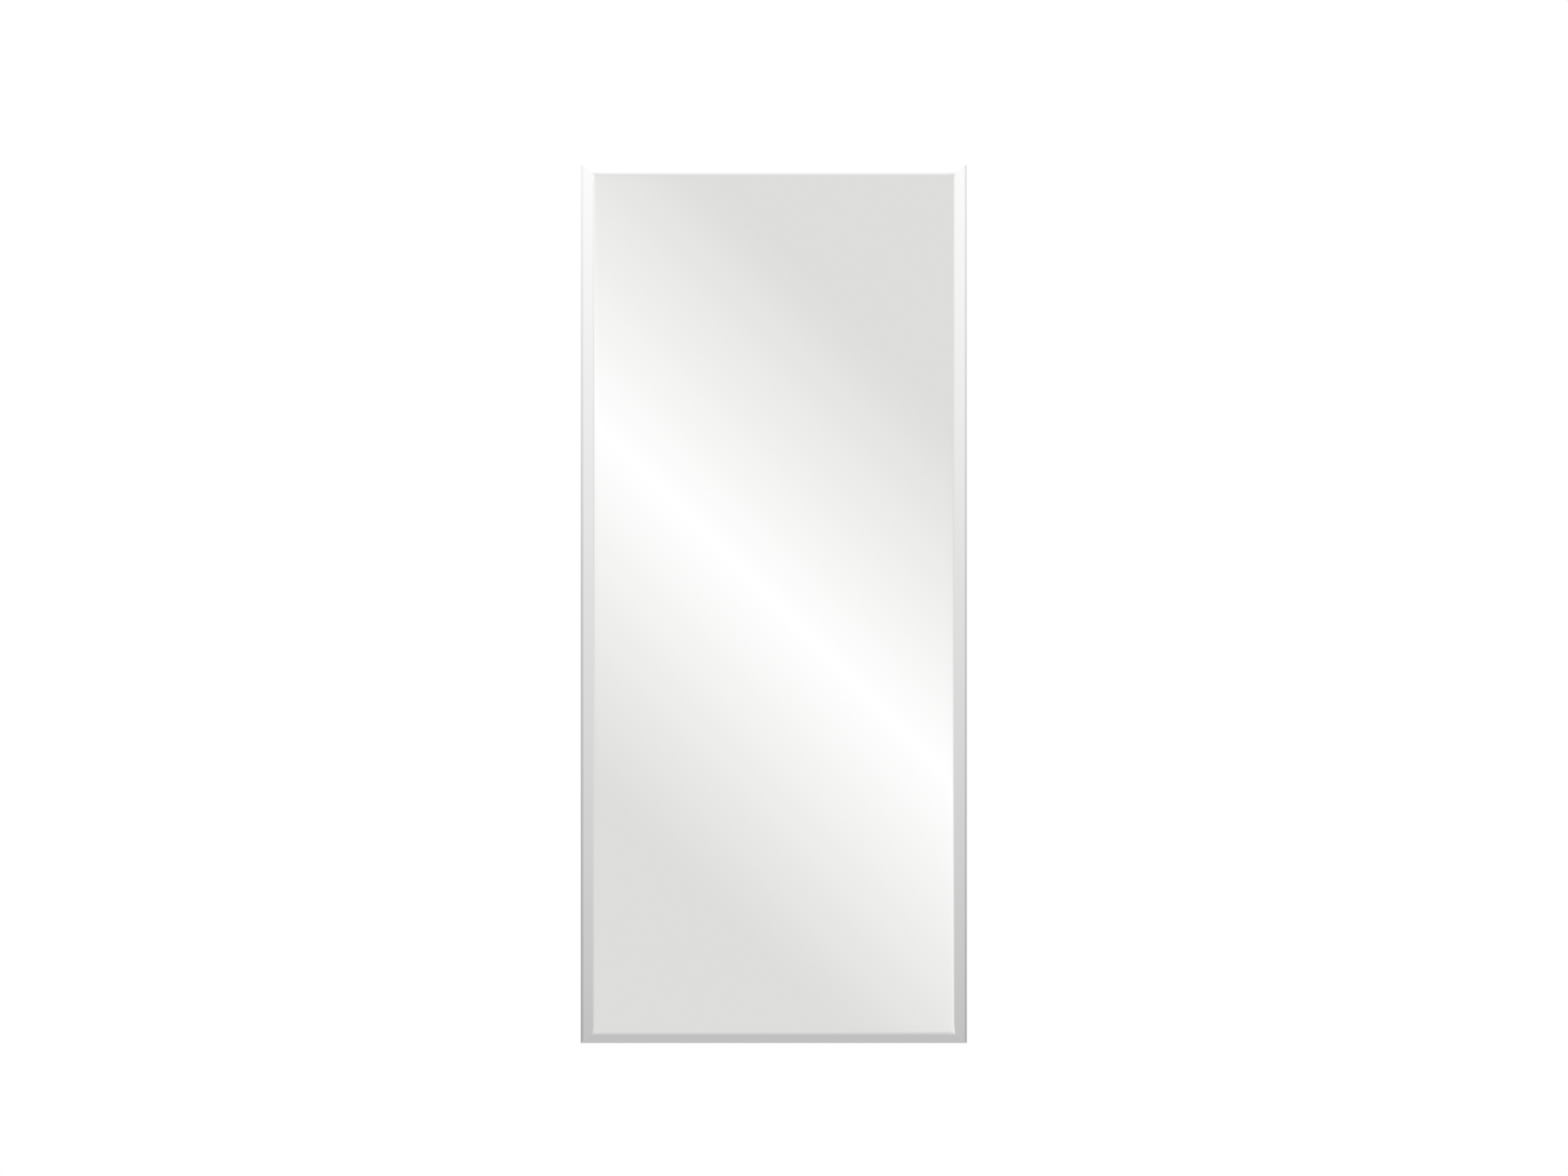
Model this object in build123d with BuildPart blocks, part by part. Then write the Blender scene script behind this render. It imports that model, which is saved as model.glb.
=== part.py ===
from build123d import *

import os

# Frameless bevelled wall mirror with its concealed hangers and wall fixings.
# All sizes are in millimetres. The wall is the plane y = 0, the room lies towards -Y and
# +Z is up. The origin is on the wall, behind the centre of the glass. A depth is a
# distance from the wall into the room, so what sits inside the wall has a negative one.

# Glass pane
glass_width = 400.0
glass_height = 910.0
glass_thickness = 5.0
rim_thickness = 3.0  # what the bevel leaves standing at the rim
side_bevel = 12.5  # width of the bevel down the two long sides
end_bevel = 10.0  # width of the bevel along the top and the bottom
front_arris = 1.6  # narrow flats that take the sharpness off the rim
back_arris = 0.5

# Layers behind the glass, the silver and the paint drawn thicker than real ones
silver_thickness = 0.1
paint_thickness = 0.1
film_thickness = 0.2
coating_inset = 1.2  # from the rim to the silver and the paint
seal_inset = 0.6  # from the rim to the outside of the sealant
seal_width = 3.0
seal_thickness = 0.2
film_inset = 5.0  # from the rim to the safety film

# Wall screws, in the upper half of the mirror
screw_inset = 90.0  # from the side of the glass to the screw
screw_drop = 150.0  # from the top of the glass down to the screws
screw_length = 50.0
shank_radius = 2.25
head_radius = 4.25
head_sink = 0.1  # of the screw head below the roller's face
point_length = 6.0
recess_length = 4.6
recess_width = 0.9
recess_depth = 1.5

# Wall plugs
plug_radius = 4.0
plug_length = 40.0
plug_sink = 0.3  # of the plug's mouth below the face of the wall
plug_play = 0.05  # between the screw and the plug's bore
plug_neck = 14.0  # plain round length at the mouth
plug_taper = 1.0
plug_slit = 1.0
groove_count = 6
groove_pitch = 4.0
groove_width = 1.6
groove_cut = 0.4

# Levelling rollers: a collar on the wall, a groove that the plate hangs in, and a rim
collar_thickness = 2.0
rim_width = 1.5
groove_radius = 6.0
rim_radius = 10.5
roller_edge = 0.4  # chamfer on the collar and the rim
eccentricity = 1.5  # from the screw up to the roller's own centre
screw_play = 0.1  # between the screw and the roller's hole
mark_width = 1.2
mark_depth = 1.0

# Hanging plates, pressed from sheet with the middle raised towards the wall
sheet = 1.2
plate_height = 70.0
wing_width = 15.0
slope_run = 2.0  # how far the sides of the raised middle lean outwards
bend_radius = 1.0  # of the middle of the sheet
plate_corner = 4.0
keyhole_land = 6.5  # sheet left beside the keyhole's round end
groove_play = 0.4  # between the sheet and each side of the roller's groove
seat_play = 0.3  # between the keyhole's seat and the roller at its highest
entry_play = 1.0  # between the keyhole's round end and the roller's rim
lift_travel = 14.0  # lift that brings the keyhole's round end level with the roller
rear_room = 2.5  # free space between the roller and the back of the mirror

# Mounting tape under the plates
tape_thickness = 1.0
tape_margin = 1.5  # from the edges of a wing to its strip of tape

# Spacers at the foot of the mirror
spacer_side = 45.0  # from the side of the glass to the middle of a spacer
spacer_rise = 60.0  # from the foot of the glass to the middle of a spacer
spacer_base_radius = 10.0
spacer_face_radius = 9.0
spacer_round = 0.8
pad_thickness = 1.0
pad_radius = 9.5

# Depths that follow from the sizes above
groove_opening = sheet + 2 * groove_play
roller_length = collar_thickness + groove_opening + rim_width
seat_depth = collar_thickness + groove_opening / 2  # middle of the raised sheet
film_back = roller_length + rear_room
paint_back = film_back + film_thickness
silver_back = paint_back + paint_thickness
glass_back = silver_back + silver_thickness
bevel_start = glass_back + rim_thickness
glass_front = glass_back + glass_thickness
wing_depth = film_back - tape_thickness - sheet / 2  # middle of the wings' sheet
head_face = roller_length - head_sink
head_depth = head_radius - shank_radius  # a ninety degree countersunk head

# Places on the wall that follow from them
screw_height = glass_height / 2 - screw_drop
seat_radius = groove_radius + eccentricity + seat_play
entry_radius = rim_radius + entry_play
entry_drop = lift_travel - eccentricity  # from the screw to the keyhole's round end
plate_rise = (seat_radius - entry_drop - entry_radius) / 2  # keyhole centred on its plate
plate_middle = screw_height + plate_rise
raised_half = entry_radius + keyhole_land
wing_start = raised_half + slope_run
plate_half = wing_start + wing_width
sides = {"left": -1, "right": 1}

os.makedirs("parts", exist_ok=True)


def facing_room(depth, x=0.0, z=0.0):
    """The plane parallel to the wall at a depth, facing the room, with local y upwards."""
    return Plane(origin=(x, -depth, z), x_dir=(1, 0, 0), z_dir=(0, -1, 0))


def section(x, z):
    """The level plane at a height, with local y as the depth and its normal downwards."""
    return Plane(origin=(x, 0, z), x_dir=(1, 0, 0), z_dir=(0, 0, -1))


def square_to_wall(x, z):
    """The line through a point of the wall, square to it."""
    return Axis((x, 0, z), (0, -1, 0))


def save(piece, name):
    """Labels a finished piece and writes it."""
    piece.label = name
    export_step(piece, f"parts/{name}.step")


# The pane: a slab as thick as its rim, and the bevelled face on top of it
with BuildPart() as mirror_glass:
    with BuildSketch(facing_room(glass_back)):
        Rectangle(glass_width, glass_height)
    extrude(amount=rim_thickness)
    with BuildSketch(facing_room(bevel_start)):
        Rectangle(glass_width, glass_height)
    with BuildSketch(facing_room(glass_front)):
        Rectangle(glass_width - 2 * side_bevel, glass_height - 2 * end_bevel)
    loft()
    rim_faces = mirror_glass.faces().filter_by(Axis.X) + mirror_glass.faces().filter_by(Axis.Z)
    rim_edges = rim_faces.edges().filter_by(Axis.Y, reverse=True).group_by(Axis.Y)
    chamfer(rim_edges[0], length=front_arris)
    chamfer(rim_edges[-1], length=back_arris)
save(mirror_glass.part, "mirror_glass")

# The layers behind it
with BuildPart() as silver_coating:
    with BuildSketch(facing_room(silver_back)):
        Rectangle(glass_width - 2 * coating_inset, glass_height - 2 * coating_inset)
    extrude(amount=silver_thickness)
save(silver_coating.part, "silver_coating")

with BuildPart() as back_paint:
    with BuildSketch(facing_room(paint_back)):
        Rectangle(glass_width - 2 * coating_inset, glass_height - 2 * coating_inset)
    extrude(amount=paint_thickness)
save(back_paint.part, "back_paint")

with BuildPart() as safety_film:
    with BuildSketch(facing_room(film_back)):
        Rectangle(glass_width - 2 * film_inset, glass_height - 2 * film_inset)
    extrude(amount=film_thickness)
save(safety_film.part, "safety_film")

# The sealant: a lip over the paint, and a leg beside the coatings that reaches the glass
with BuildPart() as edge_seal:
    seal_outer = (glass_width - 2 * seal_inset, glass_height - 2 * seal_inset)
    with BuildSketch(facing_room(paint_back - seal_thickness)):
        Rectangle(*seal_outer)
        Rectangle(*[side - 2 * seal_width for side in seal_outer], mode=Mode.SUBTRACT)
    extrude(amount=seal_thickness)
    with BuildSketch(facing_room(paint_back)):
        Rectangle(*seal_outer)
        Rectangle(
            glass_width - 2 * coating_inset,
            glass_height - 2 * coating_inset,
            mode=Mode.SUBTRACT,
        )
    extrude(amount=paint_thickness + silver_thickness)
save(edge_seal.part, "edge_seal")


def hanging_plate(x):
    """A pressed plate with wings, a raised middle and its keyhole, over the screw at x."""
    plate_top = plate_middle + plate_height / 2
    with BuildPart() as plate:
        with BuildSketch(section(x, plate_top)):
            with BuildLine():
                FilletPolyline(
                    (-plate_half, wing_depth),
                    (-wing_start, wing_depth),
                    (-raised_half, seat_depth),
                    (raised_half, seat_depth),
                    (wing_start, wing_depth),
                    (plate_half, wing_depth),
                    radius=bend_radius,
                )
            trace(line_width=sheet)
        extrude(amount=plate_height)
        with BuildSketch(facing_room(0, x, screw_height)):
            Circle(seat_radius)
            Rectangle(2 * seat_radius, entry_drop, align=(Align.CENTER, Align.MAX))
            with Locations((0, -entry_drop)):
                Circle(entry_radius)
        extrude(amount=seat_depth + sheet, mode=Mode.SUBTRACT)
        upright = plate.edges().filter_by(Axis.Y).group_by(Axis.X)
        fillet(upright[0] + upright[-1], radius=plate_corner)
    return plate.part


def tape_strip(middle):
    """A strip of mounting tape between a wing and the film, by its middle along X."""
    with BuildPart() as tape:
        with BuildSketch(facing_room(film_back - tape_thickness, middle, plate_middle)):
            Rectangle(wing_width - 2 * tape_margin, plate_height - 2 * tape_margin)
        extrude(amount=tape_thickness)
    return tape.part


def levelling_roller(x):
    """A grooved roller, turned true and drilled off its centre for the screw at x."""
    roller_height = screw_height + eccentricity
    groove_end = collar_thickness + groove_opening
    hole_radius = shank_radius + screw_play
    mouth_radius = head_radius + screw_play + head_sink
    with BuildPart() as roller:
        with BuildSketch(section(x, roller_height)):
            with BuildLine():
                Polyline(
                    (0, 0),
                    (rim_radius - roller_edge, 0),
                    (rim_radius, roller_edge),
                    (rim_radius, collar_thickness),
                    (groove_radius, collar_thickness),
                    (groove_radius, groove_end),
                    (rim_radius, groove_end),
                    (rim_radius, roller_length - roller_edge),
                    (rim_radius - roller_edge, roller_length),
                    (0, roller_length),
                    close=True,
                )
            make_face()
        revolve(axis=square_to_wall(x, roller_height))
        with BuildSketch(section(x, screw_height)):
            with BuildLine():
                Polyline(
                    (0, 0),
                    (hole_radius, 0),
                    (hole_radius, roller_length - (mouth_radius - hole_radius)),
                    (mouth_radius, roller_length),
                    (0, roller_length),
                    close=True,
                )
            make_face()
        revolve(axis=square_to_wall(x, screw_height), mode=Mode.SUBTRACT)
        with BuildSketch(facing_room(groove_end, x, roller_height + rim_radius)):
            Rectangle(mark_width, 2 * mark_depth)
        extrude(amount=rim_width, mode=Mode.SUBTRACT)
    return roller.part


def wall_screw(x):
    """A countersunk screw with a cross recess, its head in the roller."""
    tip = head_face - screw_length
    with BuildPart() as screw:
        with BuildSketch(section(x, screw_height)):
            with BuildLine():
                Polyline(
                    (0, head_face),
                    (head_radius, head_face),
                    (shank_radius, head_face - head_depth),
                    (shank_radius, tip + point_length),
                    (0, tip),
                    close=True,
                )
            make_face()
        revolve(axis=square_to_wall(x, screw_height))
        with BuildSketch(facing_room(head_face, x, screw_height)):
            Rectangle(recess_length, recess_width)
            Rectangle(recess_width, recess_length)
        extrude(amount=-recess_depth, mode=Mode.SUBTRACT)
    return screw.part


def wall_plug(x):
    """A nylon plug: a plain neck, then a grooved and slit length that the screw spreads."""
    bore_radius = shank_radius + plug_play
    tip = -plug_sink - plug_length
    neck_end = -plug_sink - plug_neck
    first_groove = neck_end - groove_width / 2
    groove_depths = [first_groove - groove_pitch * place for place in range(groove_count)]
    with BuildPart() as plug:
        with BuildSketch(section(x, screw_height)):
            with BuildLine():
                Polyline(
                    (bore_radius, -plug_sink),
                    (plug_radius, -plug_sink),
                    (plug_radius, tip + plug_taper),
                    (plug_radius - plug_taper, tip),
                    (bore_radius, tip),
                    close=True,
                )
            make_face()
        revolve(axis=square_to_wall(x, screw_height))
        with BuildSketch(section(x, screw_height)):
            with Locations(*[(plug_radius, depth) for depth in groove_depths]):
                Rectangle(2 * groove_cut, groove_width)
        revolve(axis=square_to_wall(x, screw_height), mode=Mode.SUBTRACT)
        with BuildSketch(facing_room(tip, x, screw_height)):
            Rectangle(2 * plug_radius + plug_slit, plug_slit)
            Rectangle(plug_slit, 2 * plug_radius + plug_slit)
        extrude(amount=plug_length - plug_neck, mode=Mode.SUBTRACT)
    return plug.part


def lower_spacer(x, z):
    """A rubber buffer from its pad to the wall, a little narrower at the wall."""
    spacer_back = film_back - pad_thickness
    with BuildPart() as spacer:
        with BuildSketch(section(x, z)):
            with BuildLine():
                Polyline(
                    (0, 0),
                    (spacer_face_radius, 0),
                    (spacer_base_radius, spacer_back),
                    (0, spacer_back),
                    close=True,
                )
            make_face()
        revolve(axis=square_to_wall(x, z))
        wall_rim = spacer.edges().filter_by(GeomType.CIRCLE).sort_by(Axis.Y)[-1]
        fillet(wall_rim, radius=spacer_round)
    return spacer.part


def spacer_pad(x, z):
    """The round pad of tape between a spacer and the film."""
    with BuildPart() as pad:
        with BuildSketch(facing_room(film_back - pad_thickness, x, z)):
            Circle(pad_radius)
        extrude(amount=pad_thickness)
    return pad.part


# The fittings, one set on each side
for name, side in sides.items():
    screw_x = side * (glass_width / 2 - screw_inset)
    wing_middle = wing_start + wing_width / 2
    spacer_x = side * (glass_width / 2 - spacer_side)
    spacer_z = spacer_rise - glass_height / 2
    save(hanging_plate(screw_x), f"hanging_plate_{name}")
    save(tape_strip(screw_x + side * wing_middle), f"plate_tape_{name}_outer")
    save(tape_strip(screw_x - side * wing_middle), f"plate_tape_{name}_inner")
    save(levelling_roller(screw_x), f"levelling_roller_{name}")
    save(wall_screw(screw_x), f"wall_screw_{name}")
    save(wall_plug(screw_x), f"wall_plug_{name}")
    save(lower_spacer(spacer_x, spacer_z), f"lower_spacer_{name}")
    save(spacer_pad(spacer_x, spacer_z), f"spacer_pad_{name}")
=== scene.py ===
import math

import bmesh
import bpy
from mathutils import Matrix, Vector, noise


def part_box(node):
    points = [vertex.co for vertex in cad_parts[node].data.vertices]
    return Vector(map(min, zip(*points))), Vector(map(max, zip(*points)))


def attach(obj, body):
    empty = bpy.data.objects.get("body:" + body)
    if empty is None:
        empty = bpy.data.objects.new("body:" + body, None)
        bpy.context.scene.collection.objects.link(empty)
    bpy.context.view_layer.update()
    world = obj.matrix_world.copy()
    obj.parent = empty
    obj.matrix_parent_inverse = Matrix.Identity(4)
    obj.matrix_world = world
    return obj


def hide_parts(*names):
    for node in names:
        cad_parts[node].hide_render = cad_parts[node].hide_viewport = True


# A frameless bevelled wall mirror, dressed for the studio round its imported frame. The wall is
# the plane y = 0, the room lies towards -Y and +Z is up. Lengths in the code are metres.
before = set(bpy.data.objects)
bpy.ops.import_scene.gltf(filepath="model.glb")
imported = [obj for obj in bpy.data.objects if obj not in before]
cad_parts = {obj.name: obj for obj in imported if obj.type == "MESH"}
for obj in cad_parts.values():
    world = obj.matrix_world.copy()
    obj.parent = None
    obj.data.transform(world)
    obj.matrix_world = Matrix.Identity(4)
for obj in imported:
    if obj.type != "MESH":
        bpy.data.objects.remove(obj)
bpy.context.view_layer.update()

bl_info = {
    "name": "Bathroom mirror",
    "version": (1, 0, 0),
    "blender": (4, 5, 0),
    "location": "3D View > Sidebar > Mirror",
    "description": "Dresses a bevelled wall mirror and its concealed fixings",
    "category": "Object",
}

MM = 0.001
MERGE = 0.001 * MM  # points nearer to each other than this are one
NEAR = 0.01 * MM  # what lies nearer to a plane than this is on it
SIDES = ("left", "right")
STRIPS = ("outer", "inner")
WHITE = (1.0, 1.0, 1.0, 1.0)


def linear(code):
    """An sRGB hex colour as linear red, green, blue and alpha."""
    levels = [int(code[place:place + 2], 16) / 255 for place in (1, 3, 5)]
    return (*[v / 12.92 if v <= 0.04045 else ((v + 0.055) / 1.055) ** 2.4 for v in levels], 1.0)


# The room that the mirror shows, by direction. A rise is the slope of a direction, and a side
# is how far it points from straight ahead. The ramps go from the lowest rise to the highest,
# and the one ahead gives way to the other two between the sides of its fade.
RAMP_REACH = 0.13
RAMP_AHEAD = ((0.0, linear("#BFBFBF")), (0.5, linear("#DFDFDF")), (1.0, linear("#FEFEFE")))
RAMP_LEFT = ((0.0, linear("#A8A8A8")), (0.5, linear("#C4C4C4")), (1.0, linear("#F8F8F8")))
RAMP_RIGHT = ((0.0, linear("#A8A8A8")), (0.5, linear("#C4C4C4")), (1.0, linear("#E8E8E8")))
BAND_TONES = ((0.0, linear("#FEFEFE")), (0.5, linear("#EEEEED")), (1.0, linear("#DDDDDB")))
SIDE_FADE = (0.36, 0.95)

# The bright band opposite the glass, and how far from there it fades
BAND_LEAN = 0.989
BAND_SHIFT = 0.0068
BAND_HALF_WIDTH = 0.0968
BAND_SIDE_FADE = (0.06, 0.3)
BAND_RISE_FADE = (0.13, 0.48)

# The soft boxes at the sides, which show as leaning bands below and above eye level
BOX_SPACING = 0.46
BOX_PLACE = 0.33
BOX_EDGES = (-0.45, 1.0)
BOX_SIDE_FADE = (0.4, 0.12)
BOX_RISE_FADE = (0.3, 0.14)
BOX_TONE = linear("#EDEDEC")
SILVER_SHINE = 0.955
PLAIN_LIGHT = 0.62

# The place of each lamp, and its power in watts
LAMP_SIZE = 1.6
LAMPS = {
    "key_lamp": ((-1.4, -2.4, 1.8), 34.0),
    "fill_lamp": ((1.8, -2.2, 0.6), 14.0),
    "back_lamp": ((1.6, 2.4, 1.8), 34.0),
    "back_fill_lamp": ((-1.8, 2.2, 0.6), 14.0),
}
FLOOR_FADE = (1.5, 3.0)  # how far from its middle the floor starts and ends turning white

# Cuts this far from the corners of the pane keep their shading off its long edges
CORNER_REACH = 20 * MM
ROOM_FACING = -0.1  # faces of the pane whose normals have a lower Y than this show the silver

# The top of the sealant from its outside, as shares of the lip's width and drops, and the
# waves that the brush leaves in the lip
BEAD_TOP = ((0.0, 0.2 * MM), (0.04, 0.05 * MM), (0.2, 0.0), (0.5, 0.0), (0.85, 0.06 * MM))
LIP_START = 0.7
LIP_WAVE = 9 * MM
LIP_PULL = 0.25

# The foam: the rounding of a strip's corners, and how far and how unevenly its sides draw in
FOAM_CORNER = 0.8 * MM
FOAM_WAIST = 0.15 * MM
FOAM_WAVE = 3 * MM

# The rings that grip the wall: their radii, and the section of each as radius and height
GRIP_RINGS = (2.4 * MM, 4.6 * MM, 6.8 * MM)
GRIP_SECTION = ((0.0, 0.0), (0.3, 0.35), (0.5, 0.45), (0.8, 0.45), (1.0, 0.35), (1.3, 0.0))
GRIP_HEIGHT = 0.45 * MM

# The screws: steps in a turn of the thread, the power that curves the point, and the share of
# the recess's width that is left at its floor
THREAD_STEPS = 32
POINT_CURVE = 0.8
DRIVER_TAPER = 0.45

# The plugs: play round the thread, the fins on the neck, the barbs and the slits between them
PLUG_PLAY = 0.05 * MM
FIN_HEIGHT = 0.3 * MM
FIN_WIDTH = 0.8 * MM
BARB_HEIGHT = 0.75 * MM
BARB_PITCH = 3.6 * MM
SLIT_WIDTH = 1.0 * MM

ONE_RING = math.pi / 10  # the scale at which a wave texture has one ring to the unit


def length_property(name, description, default):
    """A length that a user can change, given in millimetres."""
    return bpy.props.FloatProperty(
        name=name, description=description, default=default * MM, min=0.0,
        subtype="DISTANCE", unit="LENGTH", precision=5,
    )


def colour_property(name, description, code):
    """A colour that a user can change, given as an sRGB hex code."""
    return bpy.props.FloatVectorProperty(
        name=name, description=description, default=linear(code), size=4,
        min=0.0, max=1.0, subtype="COLOR",
    )


class MirrorPaneSettings(bpy.types.PropertyGroup):
    """Sizes and colours of the pane and of the layers behind it."""

    rim: length_property("Rim", "What the bevel leaves standing at the rim", 3.0)
    line_softness: length_property(
        "Bevel line", "Width over which the polished line turns from the face into the bevel", 4.6)
    front_arris: length_property("Front arris", "Flat ground along the front of the rim", 1.6)
    left_roll: length_property("Left roll", "Rounding that polishing leaves at the left arris", 2.2)
    right_roll: length_property("Right roll", "The same at the right arris", 1.2)
    back_arris: length_property("Back arris", "Flat ground along the back of the rim", 0.5)
    mitre_softness: length_property("Mitre", "Softness of the corners of the pane", 0.5)
    silver: colour_property("Silver", "Colour of the silver seen through the glass", "#FAFBFA")
    edge: colour_property("Glass edge", "Green of the polished rim", "#8FB8A8")
    sealant_width: length_property("Sealant", "Width of the lip of sealant over the paint", 3.0)
    paint: colour_property("Backing paint", "Paint over the silver", "#8B9792")
    sealant: colour_property("Edge sealant", "Lacquer that closes the edge of the silver", "#5C6163")
    film: colour_property("Safety film", "Film over the paint", "#BFC4C6")
    thread_spacing: length_property("Scrim", "Spacing of the threads in the film", 5.0)


class MirrorFixingSettings(bpy.types.PropertyGroup):
    """Sizes and colours of the fittings behind the mirror."""

    edge_radius: length_property("Edge radius", "Rounding left on pressed and turned edges", 0.12)
    thread_pitch: length_property("Thread pitch", "Lead of the screw thread", 2.0)
    root_radius: length_property("Thread root", "Radius at the bottom of the thread", 1.6)
    crest_radius: length_property("Thread crest", "Radius at the top of the thread", 2.25)
    shank_radius: length_property("Shank", "Radius of the plain shank", 1.75)
    point_length: length_property("Point", "Length over which the screw runs to its point", 7.0)
    recess_length: length_property("Recess", "Across the arms of the cross recess", 4.6)
    recess_width: length_property("Recess arm", "Width of an arm of the cross recess", 0.9)
    recess_depth: length_property("Recess depth", "Depth of the cross recess", 1.5)
    plug_neck: length_property("Plug neck", "Length of the plug that has no slits", 14.0)
    plain_shank: length_property("Plain shank", "Length under the head that has no thread", 12.0)
    zinc: colour_property("Zinc plate", "Plated plates and rollers", "#C4C8CC")
    screw_steel: colour_property("Screw steel", "Plated screws", "#CCCDCB")
    nylon: colour_property("Nylon", "Wall plugs", "#DDD9CC")
    rubber: colour_property("Rubber", "Buffers at the foot", "#2B2C2D")
    foam: colour_property("Foam tape", "Tape under plates and buffers", "#E3E1DA")


class MirrorStudioSettings(bpy.types.PropertyGroup):
    """The camera, the floor and the light."""

    lens: bpy.props.FloatProperty(
        name="Lens", description="Focal length of the camera", default=85.0, min=1.0,
        subtype="DISTANCE_CAMERA", unit="CAMERA")
    distance: length_property("Distance", "From the glass to the camera", 3830.0)
    camera_side: length_property("Camera to the right", "Of the middle of the mirror", 10.6)
    camera_rise: length_property("Camera above", "The middle of the mirror", 16.3)
    floor_drop: length_property("Floor below", "The middle of the mirror", 1400.0)
    floor_radius: length_property("Floor radius", "Reach of the floor", 4000.0)
    floor: colour_property("Floor", "Pale floor", "#DAD9D6")


def feed(node, inputs):
    """Gives each named input of a node its value, or links it to a node or a socket."""
    for name, value in inputs.items():
        if isinstance(value, bpy.types.Node):
            value = value.outputs[0]
        if isinstance(value, bpy.types.NodeSocket):
            node.id_data.links.new(value, node.inputs[name])
        else:
            node.inputs[name].default_value = value


def add_node(tree, kind, inputs=None, stops=None, **settings):
    """Adds a shader node, sets its properties, feeds its inputs and sets a ramp's stops."""
    node = tree.nodes.new("ShaderNode" + kind)
    node.location.x = 200 * len(tree.nodes)
    for name, value in settings.items():
        setattr(node, name, value)
    feed(node, inputs or {})
    if stops:
        while len(node.color_ramp.elements) < len(stops):
            node.color_ramp.elements.new(1.0)
        for element, (position, colour) in zip(node.color_ramp.elements, stops):
            element.position = position
            element.color = colour
    return node


def new_material(name, **inputs):
    """A node material with its shader set, and the piece's own coordinates for its patterns."""
    material = bpy.data.materials.new(name)
    material.use_nodes = True
    tree = material.node_tree
    tree.nodes.clear()
    own = {name.replace("_", " "): value for name, value in inputs.items()}
    shader = add_node(tree, "BsdfPrincipled", own)
    add_node(tree, "OutputMaterial", {"Surface": shader})
    place = add_node(tree, "TexCoord").outputs["Object"]
    return material, tree, shader, place


def shade(colour, factor):
    """A colour made darker or lighter by a factor, as a shader colour."""
    return (*[min(1.0, level * factor) for level in colour[:3]], 1.0)


def silvered_glass(look):
    """Float glass silvered on its back: a clean mirror, with the faint haze that wiping leaves."""
    material, tree, shader, place = new_material(
        "silvered_float_glass", Base_Color=look.silver, Metallic=1.0,
        Coat_Weight=1.0, Coat_IOR=1.52, Coat_Roughness=0.0)
    wipes = add_node(tree, "Mapping", {
        "Vector": place, "Scale": (160 * MM, 160 * MM, 60 * MM), "Rotation": (0, 0.6, 0),
    }, vector_type="TEXTURE")
    smears = add_node(tree, "TexNoise", {"Vector": wipes, "Scale": 1.0, "Detail": 5.0})
    haze = add_node(tree, "MapRange", {
        "Value": smears, "From Min": 0.45, "From Max": 0.8, "To Min": 0.0, "To Max": 0.02,
    })
    feed(shader, {"Roughness": haze})
    return material


def polished_edge(look):
    """Ground and polished float glass seen along its thickness: its own green, with painted light
    towards the front and painted shade deepening it near the silver.
    """
    material, tree, shader, place = new_material("polished_glass_edge", Roughness=0.08, IOR=1.52)
    low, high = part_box("mirror_glass")
    across = add_node(tree, "SeparateXYZ", {"Vector": place})
    depth = add_node(tree, "MapRange", {
        "Value": across.outputs["Y"], "From Min": low.y, "From Max": high.y,
    })
    streaks = add_node(tree, "Mapping", {
        "Vector": place, "Scale": (9 * MM, 1.5 * MM, 9 * MM),
    }, vector_type="TEXTURE")
    grinding = add_node(tree, "TexNoise", {"Vector": streaks, "Scale": 1.0, "Detail": 4.0})
    share = add_node(tree, "Math", {0: grinding, 1: 0.35, 2: depth}, operation="MULTIPLY_ADD")
    # Painted light and shade: the green is the glass's own, but this ramp paints it lighter towards
    # the front and much darker near the silver; only the grinding streaks vary of themselves.
    green = add_node(tree, "ValToRGB", {"Fac": share}, stops=[
        (0.2, shade(look.edge, 1.25)), (0.75, look.edge), (1.0, shade(look.edge, 0.35)),
    ])
    feed(shader, {"Base Color": green})
    return material


def mottled(name, colour, size, spread, roughness, bump, **inputs):
    """A finish whose colour and gloss wander in patches of a size, over a finer relief."""
    material, tree, shader, place = new_material(name, **inputs)
    patches = add_node(tree, "Mapping", {
        "Vector": place, "Scale": (size, size, size),
    }, vector_type="TEXTURE")
    cloud = add_node(tree, "TexNoise", {"Vector": patches, "Scale": 1.0, "Detail": 6.0})
    tone = add_node(tree, "ValToRGB", {"Fac": cloud}, stops=[
        (0.3, shade(colour, 1 - spread)), (0.7, shade(colour, 1 + spread)),
    ])
    gloss = add_node(tree, "MapRange", {
        "Value": cloud, "From Min": 0.3, "From Max": 0.7,
        "To Min": roughness[0], "To Max": roughness[1],
    })
    grain, height = bump
    fine = add_node(tree, "Mapping", {
        "Vector": place, "Scale": (grain, grain, grain),
    }, vector_type="TEXTURE")
    relief = add_node(tree, "TexNoise", {"Vector": fine, "Scale": 1.0, "Detail": 3.0})
    normal = add_node(tree, "Bump", {"Height": relief, "Distance": height})
    feed(shader, {"Base Color": tone, "Roughness": gloss, "Normal": normal})
    return material


def silver_layer(look):
    """Chemically deposited silver: bright, cool and a little cloudy from behind."""
    return mottled("deposited_silver", look.silver, size=40 * MM, spread=0.03,
                   roughness=(0.08, 0.16), bump=(2 * MM, 0.01 * MM), Metallic=1.0)


def backing_paint(look):
    """Curtain-coated alkyd paint: grey green, satin, with the soft skin of a poured coat."""
    return mottled("curtain_coated_paint", look.paint, size=30 * MM, spread=0.06,
                   roughness=(0.42, 0.55), bump=(2.5 * MM, 0.04 * MM))


def edge_sealant(look):
    """Brushed edge lacquer: dark grey and glossy, thicker in some places than in others."""
    return mottled("brushed_edge_lacquer", look.sealant, size=14 * MM, spread=0.18,
                   roughness=(0.22, 0.42), bump=(3 * MM, 0.08 * MM))


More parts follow.
